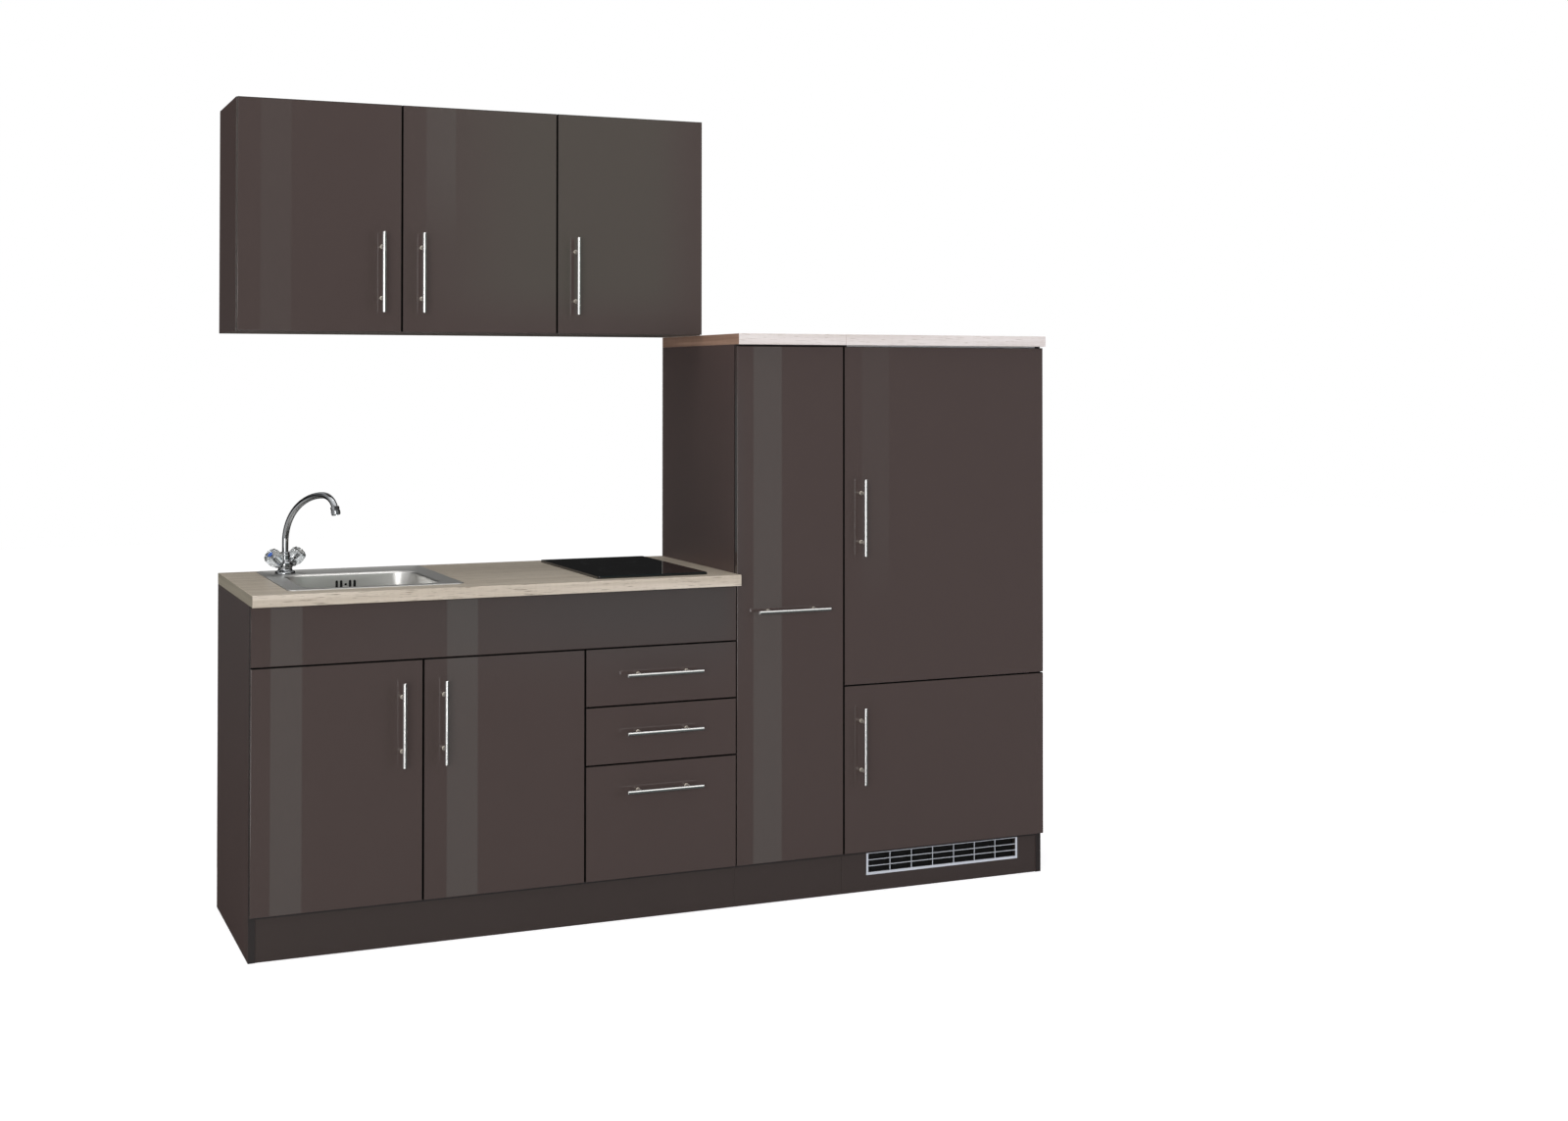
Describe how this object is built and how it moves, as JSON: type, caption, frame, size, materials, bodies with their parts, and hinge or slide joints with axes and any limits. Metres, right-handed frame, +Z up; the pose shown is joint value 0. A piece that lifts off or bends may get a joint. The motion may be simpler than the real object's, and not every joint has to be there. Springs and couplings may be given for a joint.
{
  "type": "fitted kitchen",
  "caption": "Straight fitted kitchen: base units with sink and hob, wall units, pantry pull-out and built-in fridge-freezer, all doors and drawers opening.",
  "frame": {"origin": "on the floor, at the middle of the overall width and of the overall depth with handles", "axes": "+Z up, +X to the right as seen from the front, +Y back to the wall the units stand against"},
  "size_m": [2.1, 0.603, 2.032],
  "materials": {
    "front_foil": "MDF front in high-gloss anthracite foil",
    "carcass_board": "chipboard with matt graphite melamine",
    "plinth_board": "chipboard with dark melamine",
    "oak_worktop": "chipboard with light oak laminate",
    "back_board": "white painted hardboard",
    "shelf_board": "chipboard with matt graphite melamine",
    "handle_steel": "brushed stainless bar",
    "hinge_steel": "nickel-plated pressed steel",
    "runner_steel": "epoxy-coated rolled steel",
    "fitting_steel": "zinc-plated steel",
    "foot_plastic": "black moulded plastic",
    "sink_steel": "brushed stainless sheet",
    "waste_steel": "pressed stainless steel",
    "tap_chrome": "polished chrome on brass",
    "knob_acrylic": "clear ribbed acrylic",
    "hob_glass": "black glass ceramic",
    "hob_steel": "galvanised steel tray",
    "grille_plastic": "pale grey moulded plastic",
    "drawer_board": "white melamine board",
    "frame_steel": "silver-grey painted steel tube",
    "tray_steel": "tray with a chromed gallery rail",
    "appliance_white": "white moulded liner with foam behind",
    "shelf_glass": "toughened clear glass and clear plastic drawers",
    "compressor_black": "black painted steel can"
  },
  "bodies": {
    "root": {"worktop": "oak_worktop", "tall_top_boards": "oak_worktop", "fascia_panel": "front_foil", "plinth_boards": "plinth_board", "vent_grille": "grille_plastic", "sink_bowl": "sink_steel", "sink_drain": "waste_steel", "hob_glass": "hob_glass", "hob_housing": "hob_steel", "tap_body": "tap_chrome", "wall_carcasses": "carcass_board", "base_carcasses": "carcass_board", "tall_carcasses": "carcass_board", "back_panels": "back_board", "cabinet_shelves": "shelf_board", "cabinet_fittings": "fitting_steel", "hinge_arms": "hinge_steel", "runner_rails": "runner_steel", "levelling_feet": "foot_plastic", "fridge_cabinet": "appliance_white", "fridge_shelves": "shelf_glass", "fridge_compressor": "compressor_black"},
    "wall_left_door": {"wall_left_front": "front_foil", "wall_left_handle": "handle_steel", "wall_left_hinges": "hinge_steel"},
    "wall_middle_door": {"wall_middle_front": "front_foil", "wall_middle_handle": "handle_steel", "wall_middle_hinges": "hinge_steel"},
    "wall_right_door": {"wall_right_front": "front_foil", "wall_right_handle": "handle_steel", "wall_right_hinges": "hinge_steel"},
    "base_left_door": {"base_left_front": "front_foil", "base_left_handle": "handle_steel", "base_left_hinges": "hinge_steel"},
    "base_right_door": {"base_right_front": "front_foil", "base_right_handle": "handle_steel", "base_right_hinges": "hinge_steel"},
    "drawer_top": {"drawer_top_front": "front_foil", "drawer_top_handle": "handle_steel", "drawer_top_box": "drawer_board"},
    "drawer_middle": {"drawer_middle_front": "front_foil", "drawer_middle_handle": "handle_steel", "drawer_middle_box": "drawer_board"},
    "drawer_bottom": {"drawer_bottom_front": "front_foil", "drawer_bottom_handle": "handle_steel", "drawer_bottom_box": "drawer_board"},
    "pantry_pull_out": {"pantry_front": "front_foil", "pantry_handle": "handle_steel", "pantry_frame": "frame_steel", "pantry_trays": "tray_steel"},
    "fridge_door": {"fridge_front": "front_foil", "fridge_handle": "handle_steel", "fridge_inner_door": "appliance_white"},
    "freezer_door": {"freezer_front": "front_foil", "freezer_handle": "handle_steel", "freezer_inner_door": "appliance_white"},
    "spout": {"tap_spout": "tap_chrome"},
    "knob_cold": {"tap_knob_cold": "knob_acrylic"},
    "knob_hot": {"tap_knob_hot": "knob_acrylic"},
    "strainer": {"sink_strainer": "waste_steel"}
  },
  "joints": [
    {"name": "wall_left_door_hinge", "type": "hinge", "parent": "root", "child": "wall_left_door", "pos_m": [-1.0485, -0.0165, 1.747], "axis": [0, 0, -1], "range_deg": [0, 95]},
    {"name": "wall_middle_door_hinge", "type": "hinge", "parent": "root", "child": "wall_middle_door", "pos_m": [-0.2515, -0.0165, 1.747], "axis": [0, 0, 1], "range_deg": [0, 95]},
    {"name": "wall_right_door_hinge", "type": "hinge", "parent": "root", "child": "wall_right_door", "pos_m": [0.1485, -0.0165, 1.747], "axis": [0, 0, 1], "range_deg": [0, 95]},
    {"name": "base_left_door_hinge", "type": "hinge", "parent": "root", "child": "base_left_door", "pos_m": [-1.0485, -0.2665, 0.39325], "axis": [0, 0, -1], "range_deg": [0, 95]},
    {"name": "base_right_door_hinge", "type": "hinge", "parent": "root", "child": "base_right_door", "pos_m": [-0.2515, -0.2665, 0.39325], "axis": [0, 0, 1], "range_deg": [0, 86]},
    {"name": "drawer_top_slide", "type": "slide", "parent": "root", "child": "drawer_top", "axis": [0, -1, 0], "range_m": [0, 0.4]},
    {"name": "drawer_middle_slide", "type": "slide", "parent": "root", "child": "drawer_middle", "axis": [0, -1, 0], "range_m": [0, 0.4]},
    {"name": "drawer_bottom_slide", "type": "slide", "parent": "root", "child": "drawer_bottom", "axis": [0, -1, 0], "range_m": [0, 0.4]},
    {"name": "pantry_slide", "type": "slide", "parent": "root", "child": "pantry_pull_out", "axis": [0, -1, 0], "range_m": [0, 0.45]},
    {"name": "fridge_door_hinge", "type": "hinge", "parent": "root", "child": "fridge_door", "pos_m": [1.0485, -0.2665, 0.988], "axis": [0, 0, 1], "range_deg": [0, 110]},
    {"name": "freezer_door_hinge", "type": "hinge", "parent": "root", "child": "freezer_door", "pos_m": [1.0485, -0.2665, 0.327], "axis": [0, 0, 1], "range_deg": [0, 110]},
    {"name": "spout_swivel", "type": "hinge", "parent": "root", "child": "spout", "pos_m": [-0.898, 0.2035, 0.9], "axis": [0, 0, 1], "range_deg": [-90, 80]},
    {"name": "knob_cold_turn", "type": "hinge", "parent": "root", "child": "knob_cold", "pos_m": [-0.93982, 0.17531, 0.9034], "axis": [-0.6534, -0.4405, 0.6157], "range_deg": [0, 180]},
    {"name": "knob_hot_turn", "type": "hinge", "parent": "root", "child": "knob_hot", "pos_m": [-0.85618, 0.23169, 0.9034], "axis": [0.6534, 0.4405, 0.6157], "range_deg": [0, 180]},
    {"name": "strainer_lift", "type": "slide", "parent": "root", "child": "strainer", "axis": [0, 0, 1], "range_m": [0, 0.1]}
  ]
}
